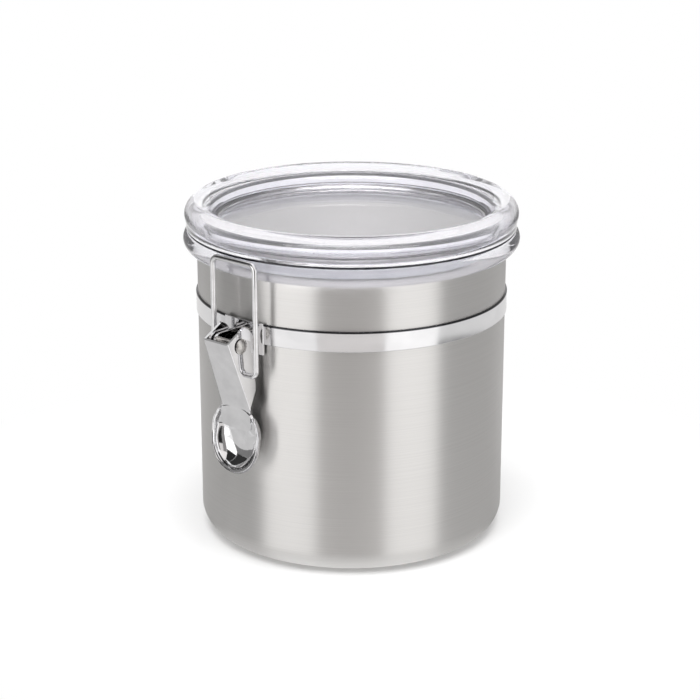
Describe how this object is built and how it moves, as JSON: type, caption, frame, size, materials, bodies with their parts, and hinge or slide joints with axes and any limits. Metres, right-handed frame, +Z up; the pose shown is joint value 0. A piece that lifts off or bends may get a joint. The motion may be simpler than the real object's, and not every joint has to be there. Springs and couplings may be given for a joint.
{
  "type": "food canister",
  "caption": "Round brushed steel food canister with a clear hinged lid, a seal ring, a chromed band and an over-centre wire bail latch.",
  "frame": {"origin": "centre of the can's base, on the surface it stands on", "axes": "+Z up along the can's axis, -Y out through the latch at the front, +Y out through the lid hinge at the back"},
  "size_m": [0.1348, 0.1487, 0.1374],
  "materials": {
    "brushed_steel": "satin stainless steel, brushed round the can",
    "chrome": "bright chrome plate on pressed steel and wire",
    "clear_plastic": "clear polished moulded plastic",
    "silicone": "milky white soft silicone"
  },
  "bodies": {
    "can": {"can_body": "brushed_steel", "band": "chrome", "latch_bracket": "chrome", "latch_pin": "chrome", "hinge_plate": "chrome"},
    "lid": {"lid": "clear_plastic", "lid_seal": "silicone", "hinge_loop": "chrome"},
    "lever": {"latch_lever": "chrome"},
    "bail": {"bail_wire": "chrome"}
  },
  "joints": [
    {"name": "lid_hinge", "type": "hinge", "parent": "can", "child": "lid", "pos_m": [0, 0.06788, 0.112], "axis": [-1, 0, 0], "range_deg": [0, 100]},
    {"name": "lever_swing", "type": "hinge", "parent": "can", "child": "lever", "pos_m": [0, -0.0715, 0.0933], "axis": [-1, 0, 0], "range_deg": [0, 100]},
    {"name": "bail_swing", "type": "hinge", "parent": "lever", "child": "bail", "pos_m": [0, -0.06788, 0.081], "axis": [-1, 0, 0], "range_deg": [-150, 0]}
  ],
  "couplings": [
    {"joint": "lever_swing", "follows": "lid_hinge", "ratio": 1},
    {"joint": "bail_swing", "follows": "lid_hinge", "ratio": -1.5}
  ]
}
